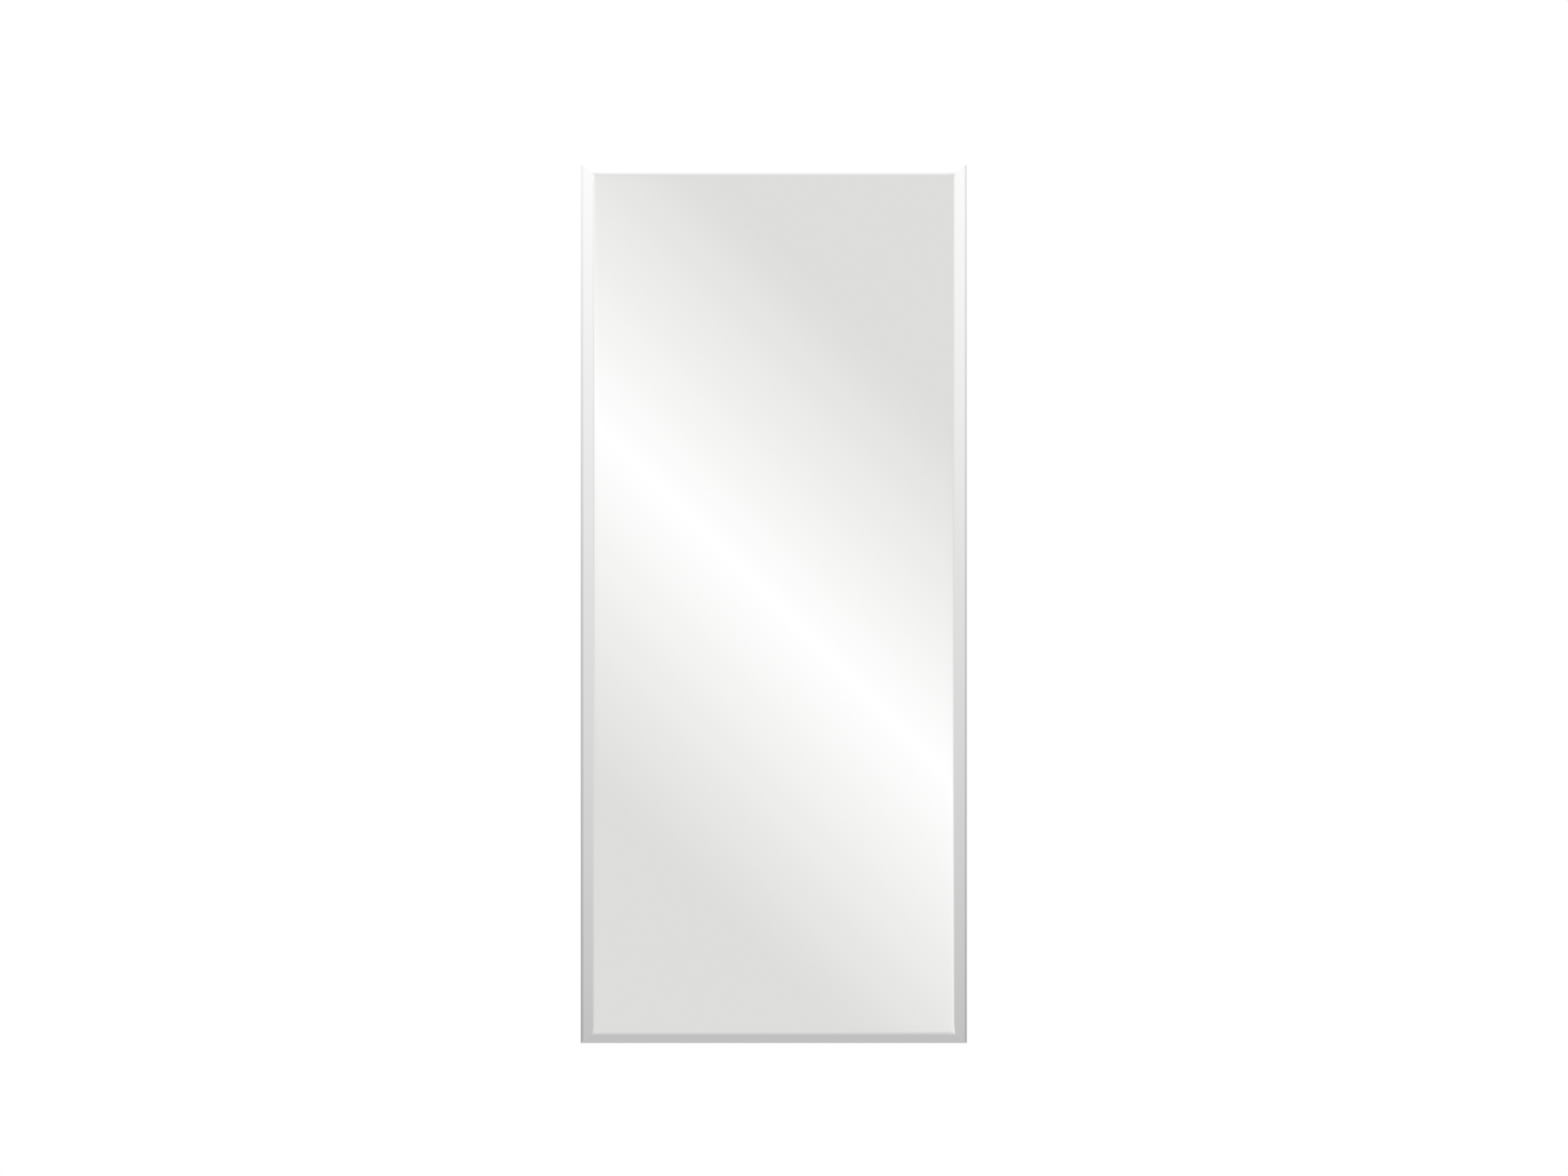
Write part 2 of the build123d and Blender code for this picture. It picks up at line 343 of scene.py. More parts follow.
def moulded_rubber(look):
    """Moulded EPDM rubber: near black, dull, greyed by a thin bloom."""
    return mottled("moulded_rubber", look.rubber, size=5 * MM, spread=0.25,
                   roughness=(0.62, 0.82), bump=(0.35 * MM, 0.02 * MM))


def moulded_nylon(look):
    """Natural polyamide: warm white, waxy, with a little light inside it."""
    return mottled("moulded_nylon", look.nylon, size=6 * MM, spread=0.05,
                   roughness=(0.38, 0.5), bump=(0.5 * MM, 0.01 * MM), Subsurface_Weight=0.15,
                   Subsurface_Scale=1.5 * MM, Subsurface_Radius=(1.0, 0.9, 0.7))


def foam_tape(look):
    """Closed-cell polyethylene foam: chalky white, its cut cells showing as pits, with painted shade
    in them.
    """
    material, tree, shader, place = new_material("closed_cell_foam", Roughness=0.85)
    cells = add_node(tree, "Mapping", {
        "Vector": place, "Scale": (0.45 * MM, 0.45 * MM, 0.45 * MM),
    }, vector_type="TEXTURE")
    pits = add_node(tree, "TexVoronoi", {"Vector": cells, "Scale": 1.0})
    # Painted shade: the foam is painted darker in the pits, where shade falls in the hollows of the
    # cut cells.
    tone = add_node(tree, "ValToRGB", {"Fac": pits}, stops=[
        (0.0, shade(look.foam, 0.72)), (0.35, look.foam),
    ])
    normal = add_node(tree, "Bump", {"Height": pits, "Distance": 0.08 * MM})
    feed(shader, {"Base Color": tone, "Normal": normal})
    return material


def safety_film(look):
    """Polyethylene film laid over a scrim: silvery white, threads standing through, satin.

    The threads of real film lie about 3 mm apart; they are drawn further apart to show from a
    step away.
    """
    material, tree, shader, place = new_material("scrim_reinforced_film", IOR=1.5)
    spacing = look.thread_spacing
    broad = add_node(tree, "Mapping", {
        "Vector": place, "Scale": (70 * MM, 70 * MM, 140 * MM),
    }, vector_type="TEXTURE")
    sway = add_node(tree, "TexNoise", {"Vector": broad, "Scale": 1.0, "Detail": 2.0})
    laid = add_node(tree, "VectorMath", {
        0: sway.outputs["Color"], 1: (4 * MM,) * 3, 2: place,
    }, operation="MULTIPLY_ADD")
    flat = add_node(tree, "Mapping", {
        "Vector": laid, "Scale": (spacing, spacing, spacing), "Rotation": (math.pi / 2, 0, 0),
    }, vector_type="TEXTURE")
    threads = add_node(tree, "TexBrick", {
        "Vector": flat, "Scale": 1.0, "Brick Width": 1.0, "Row Height": 1.0,
        "Mortar Size": 0.06, "Mortar Smooth": 1.0, "Bias": 0.0,
    }, offset=0.0, squash=1.0)
    drift = add_node(tree, "TexNoise", {"Vector": broad, "Scale": 1.0, "Detail": 7.0})
    sheet_tone = add_node(tree, "ValToRGB", {"Fac": drift}, stops=[
        (0.3, shade(look.film, 0.93)), (0.7, shade(look.film, 1.05)),
    ])
    tone = add_node(tree, "Mix", {
        0: threads.outputs["Fac"], 6: sheet_tone, 7: shade(look.film, 1.3),
    }, data_type="RGBA")
    gloss = add_node(tree, "MapRange", {
        "Value": drift, "From Min": 0.3, "From Max": 0.7, "To Min": 0.3, "To Max": 0.46,
    })
    crimp = add_node(tree, "Mapping", {
        "Vector": place, "Scale": (1.1 * MM, 1.1 * MM, 1.1 * MM),
    }, vector_type="TEXTURE")
    skin = add_node(tree, "TexNoise", {"Vector": crimp, "Scale": 1.0, "Detail": 2.0})
    height = add_node(tree, "Math", {0: skin, 1: 0.25, 2: threads.outputs["Fac"]},
                      operation="MULTIPLY_ADD")
    normal = add_node(tree, "Bump", {"Height": height, "Distance": 0.12 * MM})
    feed(shader, {"Base Color": tone.outputs[2], "Roughness": gloss, "Normal": normal})
    return material


def zinc_plated_sheet(look):
    """Cold-rolled steel, pressed and zinc plated: bluish, with the rolling grain showing."""
    material, tree, shader, place = new_material("zinc_plated_sheet", Metallic=1.0)
    rolled = add_node(tree, "Mapping", {
        "Vector": place, "Scale": (0.35 * MM, 0.35 * MM, 18 * MM),
    }, vector_type="TEXTURE")
    grain = add_node(tree, "TexNoise", {"Vector": rolled, "Scale": 1.0, "Detail": 4.0})
    bath = add_node(tree, "Mapping", {
        "Vector": place, "Scale": (16 * MM, 16 * MM, 16 * MM),
    }, vector_type="TEXTURE")
    cloud = add_node(tree, "TexNoise", {"Vector": bath, "Scale": 1.0, "Detail": 5.0})
    tone = add_node(tree, "ValToRGB", {"Fac": cloud}, stops=[
        (0.3, linear("#B9BEC8")), (0.52, look.zinc), (0.75, linear("#CBC9BF")),
    ])
    gloss = add_node(tree, "MapRange", {
        "Value": grain, "From Min": 0.3, "From Max": 0.7, "To Min": 0.24, "To Max": 0.42,
    })
    normal = add_node(tree, "Bump", {"Height": grain, "Distance": 0.012 * MM})
    feed(shader, {"Base Color": tone, "Roughness": gloss, "Normal": normal})
    return material


def turned_steel(name, colour, x, z, spacing):
    """Turned and plated steel: fine rings left by the tool about the piece's own axis."""
    material, tree, shader, place = new_material(name, Metallic=1.0)
    about_axis = add_node(tree, "Mapping", {
        "Vector": place, "Location": (x, 0, z), "Scale": (spacing, spacing, spacing),
    }, vector_type="TEXTURE")
    rings = add_node(tree, "TexWave", {
        "Vector": about_axis, "Scale": ONE_RING, "Distortion": 0.6, "Detail": 2.0,
    }, wave_type="RINGS", rings_direction="Y")
    tone = add_node(tree, "ValToRGB", {"Fac": rings}, stops=[
        (0.0, shade(colour, 0.93)), (1.0, colour),
    ])
    gloss = add_node(tree, "MapRange", {"Value": rings, "To Min": 0.2, "To Max": 0.34})
    normal = add_node(tree, "Bump", {"Height": rings, "Distance": 0.004 * MM})
    feed(shader, {"Base Color": tone, "Roughness": gloss, "Normal": normal})
    return material


def middle(node):
    """The place of a node's own centre on the wall, as x and z."""
    low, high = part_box(node)
    return (low.x + high.x) / 2, (low.z + high.z) / 2


def finished_piece(mesh, name, materials, crease=30):
    """Makes an object of a finished bmesh, with smooth faces between its creases."""
    bmesh.ops.recalc_face_normals(mesh, faces=mesh.faces)
    data = bpy.data.meshes.new(name)
    mesh.to_mesh(data)
    mesh.free()
    for material in materials:
        data.materials.append(material)
    data.shade_smooth()
    data.set_sharp_from_angle(angle=math.radians(crease))
    piece = bpy.data.objects.new(name, data)
    bpy.context.scene.collection.objects.link(piece)
    return piece


def shade_evenly(piece):
    """Lets broad faces stay flat in the shading, and the narrow ones beside them turn."""
    even = piece.modifiers.new("Even shading", "WEIGHTED_NORMAL")
    even.keep_sharp = True


def dress_node(node, material):
    """Gives a CAD node that keeps its own shape a material."""
    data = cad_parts[node].data
    data.materials.clear()
    data.materials.append(material)


def round_edges(mesh, edges, offset, segments):
    """Rounds edges by an offset to either side."""
    bmesh.ops.bevel(mesh, geom=edges, offset=offset, offset_type="OFFSET", affect="EDGES",
                    segments=segments, profile=0.5, material=-1, clamp_overlap=True)


def edges_at(mesh, here):
    """The edges whose two ends both pass a test on their place."""
    return [edge for edge in mesh.edges if all(here(vert.co) for vert in edge.verts)]


def edges_through(mesh, depth):
    """The edges that run from the front of a flat piece to its back."""
    return [edge for edge in mesh.edges
            if abs(edge.verts[0].co.y - edge.verts[1].co.y) > 0.5 * depth]


def verts_in(parts):
    """The vertices among what an operator made."""
    return [part for part in parts if isinstance(part, bmesh.types.BMVert)]


def grown_loop(mesh, loop):
    """Extrudes a loop of edges where it lies, and gives the new loop and its vertices."""
    grown = bmesh.ops.extrude_edge_only(mesh, edges=loop)
    fresh = set(verts_in(grown["geom"]))
    edges = [part for part in grown["geom"] if isinstance(part, bmesh.types.BMEdge)]
    return [edge for edge in edges if fresh.issuperset(edge.verts)], list(fresh)


def softened_copy(node, radius):
    """The shape of a CAD node, merged, with its sharp edges rounded."""
    mesh = bmesh.new()
    mesh.from_mesh(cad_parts[node].data)
    bmesh.ops.remove_doubles(mesh, verts=mesh.verts, dist=MERGE)
    bmesh.ops.dissolve_limit(mesh, angle_limit=math.radians(0.5), verts=mesh.verts,
                             edges=mesh.edges)
    sharp = [edge for edge in mesh.edges if edge.calc_face_angle(0.0) > math.radians(30)]
    round_edges(mesh, sharp, radius, segments=2)
    return mesh


def turned(profile, x, z, steps=72, closed=False):
    """A shape turned about the line square to the wall through x, z.

    The profile is a list of (radius, y) points. It starts and ends on the axis, or is closed.
    """
    mesh = bmesh.new()
    verts = [mesh.verts.new((x + radius, y, z)) for radius, y in profile]
    edges = [mesh.edges.new(pair) for pair in zip(verts, verts[1:])]
    if closed:
        edges.append(mesh.edges.new((verts[-1], verts[0])))
    bmesh.ops.spin(mesh, geom=verts + edges, cent=(x, 0, z), axis=(0, 1, 0), dvec=(0, 0, 0),
                   angle=2 * math.pi, steps=steps, use_merge=True)
    bmesh.ops.remove_doubles(mesh, verts=mesh.verts, dist=MERGE)
    bmesh.ops.recalc_face_normals(mesh, faces=mesh.faces)
    return mesh


def block(low, high):
    """A rectangular block between two corners."""
    mesh = bmesh.new()
    bmesh.ops.create_cube(mesh, size=1.0)
    bmesh.ops.scale(mesh, vec=high - low, verts=mesh.verts)
    bmesh.ops.translate(mesh, vec=(low + high) / 2, verts=mesh.verts)
    return mesh


def combined(body, tool, operation):
    """One bmesh with another cut away from it or joined to it."""
    parts = []
    for shape in (body, tool):
        data = bpy.data.meshes.new("working_shape")
        shape.to_mesh(data)
        shape.free()
        part = bpy.data.objects.new("working_shape", data)
        bpy.context.scene.collection.objects.link(part)
        parts.append(part)
    cut = parts[0].modifiers.new("Cut", "BOOLEAN")
    cut.object, cut.operation, cut.solver = parts[1], operation, "EXACT"
    result = bmesh.new()
    result.from_object(parts[0], bpy.context.evaluated_depsgraph_get())
    for part in parts:
        data = part.data
        bpy.data.objects.remove(part)
        bpy.data.meshes.remove(data)
    bmesh.ops.remove_doubles(result, verts=result.verts, dist=MERGE)
    return result


def flat_face():
    """Half the width and half the height of the pane's flat face, from its CAD node."""
    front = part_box("mirror_glass")[0].y
    points = [vert.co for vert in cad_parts["mirror_glass"].data.vertices]
    corners = [point for point in points if point.y < front + NEAR]
    return max(point.x for point in corners), max(point.z for point in corners)


class MIRROR_OT_pane(bpy.types.Operator):
    """Makes the bevelled pane, with its softened bevel line and ground arrises"""

    bl_idname = "mirror.pane"
    bl_label = "Bevelled pane"

    def execute(self, context):
        look = context.scene.mirror_pane
        low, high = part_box("mirror_glass")
        rim_front = high.y - look.rim
        face_x, face_z = flat_face()
        pane = block(Vector((low.x, rim_front, low.z)), high)
        front = min(pane.faces, key=lambda face: face.calc_center_median().y)
        raised = verts_in(bmesh.ops.extrude_face_region(pane, geom=[front])["geom"])
        bmesh.ops.delete(pane, geom=[front], context="FACES_ONLY")
        bmesh.ops.translate(pane, vec=(0, low.y - rim_front, 0), verts=raised)
        bmesh.ops.scale(pane, vec=(face_x / high.x, 1, face_z / high.z), verts=raised)

        bevel_line = edges_at(pane, lambda co: co.y < low.y + NEAR)
        round_edges(pane, bevel_line, look.line_softness / 2, segments=6)
        rim_line = edges_at(pane, lambda co: abs(co.y - rim_front) < NEAR)
        round_edges(pane, rim_line, look.front_arris, segments=1)
        back_line = edges_at(pane, lambda co: co.y > high.y - NEAR)
        round_edges(pane, back_line, look.back_arris, segments=2)
        corners = edges_at(pane, lambda co: abs(co.x) > high.x - NEAR
                           and abs(co.z) > high.z - NEAR)
        round_edges(pane, corners, look.mitre_softness, segments=3)
        for side, roll in ((-1, look.left_roll), (1, look.right_roll)):
            arris = edges_at(pane, lambda co: co.y < rim_front - NEAR
                             and side * co.x > high.x - look.front_arris - NEAR)
            round_edges(pane, arris, roll, segments=6)
        bmesh.ops.remove_doubles(pane, verts=pane.verts, dist=MERGE)
        for across, reach in ((Vector((1, 0, 0)), high.x), (Vector((0, 0, 1)), high.z)):
            for side in (-1, 1):
                bmesh.ops.bisect_plane(pane, geom=pane.verts[:] + pane.edges[:] + pane.faces[:],
                                       dist=MERGE, plane_no=across,
                                       plane_co=across * side * (reach - CORNER_REACH))
        bmesh.ops.recalc_face_normals(pane, faces=pane.faces)
        for face in pane.faces:
            face.material_index = 0 if face.normal.y < ROOM_FACING else 1
        piece = finished_piece(pane, "bevelled_pane",
                               [silvered_glass(look), polished_edge(look)], crease=8)
        shade_evenly(piece)
        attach(piece, "mirror_panel")
        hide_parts("mirror_glass")
        return {"FINISHED"}


class MIRROR_OT_coatings(bpy.types.Operator):
    """Dresses the silver, the backing paint and the safety film"""

    bl_idname = "mirror.coatings"
    bl_label = "Coatings and film"

    def execute(self, context):
        look = context.scene.mirror_pane
        dress_node("silver_coating", silver_layer(look))
        dress_node("back_paint", backing_paint(look))
        dress_node("safety_film", safety_film(look))
        return {"FINISHED"}


class MIRROR_OT_sealant(bpy.types.Operator):
    """Makes the bead of sealant round the edge of the coatings"""

    bl_idname = "mirror.sealant"
    bl_label = "Edge sealant"

    def execute(self, context):
        look = context.scene.mirror_pane
        low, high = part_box("edge_seal")
        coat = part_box("back_paint")[1]
        leg = high.x - coat.x
        foot = coat.y
        lip = look.sealant_width
        profile = [(0.0, low.y)]
        profile += [(share * lip, high.y - drop) for share, drop in BEAD_TOP]
        profile += [(lip, foot), (leg, foot), (leg, low.y)]
        bead = bmesh.new()
        verts = [bead.verts.new((low.x + inset, y, low.z + inset)) for inset, y in profile]
        loop = [bead.edges.new(pair) for pair in zip(verts, verts[1:] + verts[:1])]
        for to_next_corner in ((1, 1, -1), (-1, 1, 1), (1, 1, -1), (-1, 1, 1)):
            loop, fresh = grown_loop(bead, loop)
            bmesh.ops.scale(bead, vec=to_next_corner, verts=fresh)
        bmesh.ops.remove_doubles(bead, verts=bead.verts, dist=MERGE)
        runs = [edge for edge in bead.edges if edge.calc_length() > 10 * lip]
        bmesh.ops.subdivide_edges(bead, edges=runs, cuts=110, use_grid_fill=True)
        for vert in bead.verts:
            inset = min(high.x - abs(vert.co.x), high.z - abs(vert.co.z))
            if inset > LIP_START * lip:
                wander = 0.5 + 0.5 * noise.noise(vert.co / LIP_WAVE)
                pull = LIP_PULL * lip * wander
                if high.x - abs(vert.co.x) == inset:
                    vert.co.x += math.copysign(pull, vert.co.x)
                else:
                    vert.co.z += math.copysign(pull, vert.co.z)
        piece = finished_piece(bead, "sealant_bead", [edge_sealant(look)], crease=60)
        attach(piece, "mirror_panel")
        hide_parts("edge_seal")
        return {"FINISHED"}


class MIRROR_OT_hanging_plates(bpy.types.Operator):
    """Makes the two pressed hanging plates, with the edges that pressing leaves"""

    bl_idname = "mirror.hanging_plates"
    bl_label = "Hanging plates"

    def execute(self, context):
        look = context.scene.mirror_fixings
        steel = zinc_plated_sheet(look)
        for side in SIDES:
            node = f"hanging_plate_{side}"
            plate = softened_copy(node, look.edge_radius)
            piece = finished_piece(plate, f"pressed_plate_{side}", [steel])
            shade_evenly(piece)
            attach(piece, "mirror_panel")
            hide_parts(node)
        return {"FINISHED"}


def draw_sides_in(foam, low, high):
    """Draws the sides of a squeezed strip of foam in, most at the middle of its thickness."""
    depth = high.y - low.y
    cut = bmesh.ops.subdivide_edges(foam, edges=edges_through(foam, depth), cuts=3,
                                    use_grid_fill=True)
    centre = (low + high) / 2
    for vert in verts_in(cut["geom_inner"]):
        out = vert.co - centre
        share = 1 - 2 * abs(out.y) / depth
        uneven = 1 + 0.5 * noise.noise(vert.co / FOAM_WAVE)
        for axis in (0, 2):
            step = math.copysign(min(abs(out[axis]), FOAM_WAIST), out[axis])
            vert.co[axis] -= step * share * uneven


class MIRROR_OT_foam(bpy.types.Operator):
    """Makes the strips of tape under the plates and the round pads under the buffers"""

    bl_idname = "mirror.foam"
    bl_label = "Foam tape"

    def execute(self, context):
        look = context.scene.mirror_fixings
        foam = foam_tape(look)
        for side in SIDES:
            for strip in STRIPS:
                node = f"plate_tape_{side}_{strip}"
                low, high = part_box(node)
                tape = block(low, high)
                corners = edges_through(tape, high.y - low.y)
                round_edges(tape, corners, FOAM_CORNER, segments=3)
                runs = [edge for edge in tape.edges if edge.calc_length() > high.x - low.x]
                bmesh.ops.subdivide_edges(tape, edges=runs, cuts=40, use_grid_fill=True)
                draw_sides_in(tape, low, high)
                piece = finished_piece(tape, f"foam_strip_{side}_{strip}", [foam])
                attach(piece, "mirror_panel")
                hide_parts(node)
            node = f"spacer_pad_{side}"
            low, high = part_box(node)
            radius = (high.x - low.x) / 2
            waist = radius - FOAM_WAIST
            shoulder = 0.3 * (high.y - low.y)
            pad = turned([
                (0, low.y), (radius, low.y), (waist, low.y + shoulder),
                (waist, high.y - shoulder), (radius, high.y), (0, high.y),
            ], *middle(node))
            piece = finished_piece(pad, f"foam_pad_{side}", [foam], crease=40)
            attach(piece, "mirror_panel")
            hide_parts(node)
        return {"FINISHED"}


class MIRROR_OT_buffers(bpy.types.Operator):
    """Makes the two rubber buffers at the foot, with the rings that grip the wall"""

    bl_idname = "mirror.buffers"
    bl_label = "Rubber buffers"

    def execute(self, context):
        look = context.scene.mirror_fixings
        rubber = moulded_rubber(look)
        for side in SIDES:
            node = f"lower_spacer_{side}"
            low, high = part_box(node)
            base = (high.x - low.x) / 2
            face = base - 1.0 * MM
            hollow = high.y - GRIP_HEIGHT
            profile = [(0, hollow)]
            for ring in GRIP_RINGS:
                profile += [(ring + out * MM, hollow + rise * MM) for out, rise in GRIP_SECTION]
            profile += [
                (face - 0.8 * MM, hollow), (face - 0.3 * MM, hollow - 0.1 * MM),
                (face + 0.05 * MM, hollow - 0.6 * MM), (base - 0.1 * MM, low.y + 0.6 * MM),
                (base, low.y + 0.35 * MM), (base - 0.1 * MM, low.y), (0, low.y),
            ]
            buffer = turned(profile, *middle(node))
            piece = finished_piece(buffer, f"rubber_buffer_{side}", [rubber], crease=50)
            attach(piece, "mirror_panel")
            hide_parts(node)
        return {"FINISHED"}


class MIRROR_OT_rollers(bpy.types.Operator):
    """Makes the two eccentric levelling rollers, with their turned edges broken"""

    bl_idname = "mirror.rollers"
    bl_label = "Levelling rollers"

    def execute(self, context):
        look = context.scene.mirror_fixings
        for side in SIDES:
            node = f"levelling_roller_{side}"
            x, z = middle(node)
            steel = turned_steel(f"turned_steel_{side}", look.zinc, x, z, spacing=0.5 * MM)
            roller = softened_copy(node, look.edge_radius)
            piece = finished_piece(roller, f"turned_roller_{side}", [steel])
            shade_evenly(piece)
            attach(piece, f"{side}_roller")
            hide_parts(node)
        return {"FINISHED"}


class MIRROR_OT_screws(bpy.types.Operator):
    """Makes the two countersunk wall screws, with their threads, points and cross recesses"""

    bl_idname = "mirror.screws"
    bl_label = "Wall screws"

    def execute(self, context):
        look = context.scene.mirror_fixings
        for side in SIDES:
            node = f"wall_screw_{side}"
            x, z = middle(node)
            steel = turned_steel(f"plated_screw_steel_{side}", look.screw_steel, x, z,
                                 spacing=0.3 * MM)
            screw = threaded_screw(node, look)
            piece = finished_piece(screw, f"threaded_screw_{side}", [steel], crease=35)
            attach(piece, "wall_fixings")
            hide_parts(node)
        return {"FINISHED"}


def threaded_screw(node, look):
    """A wood screw: its thread spun as a helix, its shank and head grown from the thread."""
    low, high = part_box(node)
    x, z = middle(node)
    head = (high.x - low.x) / 2
    pitch = look.thread_pitch
    root = look.root_radius
    crest = look.crest_radius
    start = low.y + look.plain_shank
    run_in = 1.5 * pitch
    first = start - run_in
    turns = math.ceil((high.y - first) / pitch) + 1
    screw = bmesh.new()
    # The section of the thread along one pitch, as radius and share of the pitch
    tooth = ((root, 0.0), (root, 0.4), (crest, 0.62), (crest, 0.68), (root, 0.86), (root, 1.0))
    verts = [screw.verts.new((x + radius, first + share * pitch, z)) for radius, share in tooth]
    edges = [screw.edges.new(pair) for pair in zip(verts, verts[1:])]
    bmesh.ops.spin(screw, geom=verts + edges, cent=(x, 0, z), axis=(0, 1, 0),
                   dvec=(0, pitch / THREAD_STEPS, 0), angle=2 * math.pi * turns,
                   steps=THREAD_STEPS * turns, use_merge=False)
    bmesh.ops.remove_doubles(screw, verts=screw.verts, dist=5 * MERGE)
    # The thread rises from the shank over its run-in, and the whole runs to the point
    thread_start = start + 0.3 * pitch
    point_end = high.y + 0.3 * MM
    for vert in screw.verts:
        out = Vector((vert.co.x - x, 0, vert.co.z - z))
        radius = out.length
        rise = min(1.0, max(0.0, (vert.co.y - thread_start) / run_in))
        shaped = root + max(0.0, radius - root) * rise
        left = min(1.0, max(0.0, (point_end - vert.co.y) / look.point_length))
        vert.co += out * (shaped * left ** POINT_CURVE / radius - 1)
    for y, inner in ((start, True), (high.y, False)):
        bmesh.ops.bisect_plane(screw, geom=screw.verts[:] + screw.edges[:] + screw.faces[:],
                               dist=MERGE, plane_co=(0, y, 0), plane_no=(0, 1, 0),
                               clear_inner=inner, clear_outer=not inner)
    tip = [edge for edge in screw.edges if edge.is_boundary
           and all(vert.co.y > high.y - NEAR for vert in edge.verts)]
    bmesh.ops.holes_fill(screw, edges=tip, sides=0)
    shank = look.shank_radius
    base = low.y + head - shank
    # Radius and y of each ring, from the thread up to the rim of the head
    rings = [
        (root, start - 0.1 * MM), (shank, start - 0.6 * MM), (shank, base + 0.8 * MM),
        (shank + 0.15 * MM, base + 0.25 * MM), (shank + 0.5 * MM, base - 0.25 * MM),
        (head, low.y + 0.25 * MM), (head, low.y + 0.08 * MM), (head - 0.1 * MM, low.y),
    ]
    loop = [edge for edge in screw.edges if edge.is_boundary]
    radius = root
    for wider, y in rings:
        loop, fresh = grown_loop(screw, loop)
        share = wider / radius
        bmesh.ops.scale(screw, vec=(share, 1, share), verts=fresh,
                        space=Matrix.Translation((-x, 0, -z)))
        for vert in fresh:
            vert.co.y = y
        radius = wider
    bmesh.ops.holes_fill(screw, edges=loop, sides=0)
    bmesh.ops.recalc_face_normals(screw, faces=screw.faces)
    return combined(screw, cross_driver(look, x, low.y, z), "DIFFERENCE")


def cross_driver(look, x, y, z):
    """The shape of a cross driver's tip, which the recess is cut with."""
    half = look.recess_width / 2
    reach = look.recess_length / 2
    depth = look.recess_depth
    cross = block(Vector((-half, -depth, -half)), Vector((half, depth, half)))
    arms = [face for face in cross.faces if abs(face.normal.y) < 0.5]
    grown = bmesh.ops.extrude_discrete_faces(cross, faces=arms)
    for end in grown["faces"]:
        outwards = end.normal.copy()
        bmesh.ops.translate(cross, vec=outwards * (reach - half), verts=end.verts)
    inner = [vert for vert in cross.verts if vert.co.y > 0]
    bmesh.ops.scale(cross, vec=(DRIVER_TAPER, 1, DRIVER_TAPER), verts=inner)
    bmesh.ops.translate(cross, vec=(x, y, z), verts=cross.verts)
    bmesh.ops.remove_doubles(cross, verts=cross.verts, dist=MERGE)
    bmesh.ops.recalc_face_normals(cross, faces=cross.faces)
    return cross


class MIRROR_OT_plugs(bpy.types.Operator):
    """Makes the two nylon wall plugs, with their barbs, slits and fins"""

    bl_idname = "mirror.plugs"
    bl_label = "Wall plugs"

    def execute(self, context):
        look = context.scene.mirror_fixings
        nylon = moulded_nylon(look)
        for side in SIDES:
            node = f"wall_plug_{side}"
            piece = finished_piece(barbed_plug(node, look), f"barbed_plug_{side}", [nylon],
                                   crease=35)
            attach(piece, "wall_fixings")
            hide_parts(node)
        return {"FINISHED"}


def barbed_plug(node, look):
    """A wall plug: a finned neck, and barbs in four fingers that the screw spreads."""
    low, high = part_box(node)
    x, z = middle(node)
    outer = (high.x - low.x) / 2
    bore = look.crest_radius + PLUG_PLAY
    neck = outer - FIN_HEIGHT
    valley = outer - BARB_HEIGHT
    neck_end = low.y + look.plug_neck
    profile = [
        (bore, low.y), (neck, low.y), (outer, low.y + 0.3 * MM), (outer, low.y + 1.1 * MM),
        (neck, low.y + 1.5 * MM), (neck, neck_end - 1.0 * MM),
    ]
    y = neck_end - 0.6 * MM
    while y + BARB_PITCH < high.y - 1.2 * MM:
        profile += [(valley, y), (outer, y + 0.5 * MM), (outer, y + 0.9 * MM)]
        y += BARB_PITCH
    profile += [
        (valley, y), (valley, high.y - 1.0 * MM), (valley - 0.7 * MM, high.y), (bore, high.y),
    ]
    plug = turned(profile, x, z, closed=True)
    past = 1.0 * MM
    for across in ((outer + past, SLIT_WIDTH / 2), (SLIT_WIDTH / 2, outer + past)):
        slit = block(Vector((x - across[0], neck_end, z - across[1])),
                     Vector((x + across[0], high.y + past, z + across[1])))
        plug = combined(plug, slit, "DIFFERENCE")
    axis = Vector((x, 0, z))
    fin_start = Vector((0, low.y + 1.3 * MM, 0))
    fin_end = Vector((0, neck_end - 2.0 * MM, 0))
    fin_crest = outer - 0.02 * MM
    fin_slope = Vector((0, -2.0 * MM, 0))
    for out in (Vector((1, 0, 0)), Vector((-1, 0, 0)), Vector((0, 0, 1)), Vector((0, 0, -1))):
        half_width = Vector((out.z, 0, out.x)) * FIN_WIDTH / 2
        near = axis + fin_start + out * (neck - FIN_HEIGHT) - half_width
        far = axis + fin_end + out * fin_crest + half_width
        fin = block(Vector(map(min, near, far)), Vector(map(max, near, far)))
        crest_end = [vert for vert in fin.verts if vert.co.y > fin_end.y - NEAR
                     and (vert.co - axis).dot(out) > fin_crest - NEAR]
        bmesh.ops.translate(fin, vec=fin_slope, verts=crest_end)
        plug = combined(plug, fin, "UNION")
    return plug


def soft_lamp(name, place, power):
    """A square area lamp aimed at the middle of the mirror."""
    lamp = bpy.data.lights.new(name, "AREA")
    lamp.size, lamp.energy = LAMP_SIZE, power
    holder = bpy.data.objects.new(name, lamp)
    holder.location = place
    holder.rotation_euler = (-Vector(place)).to_track_quat("-Z", "Y").to_euler()
    # The mirror shows the room of the world shader, and not the lamps.
    holder.visible_glossy = False
    bpy.context.scene.collection.objects.link(holder)


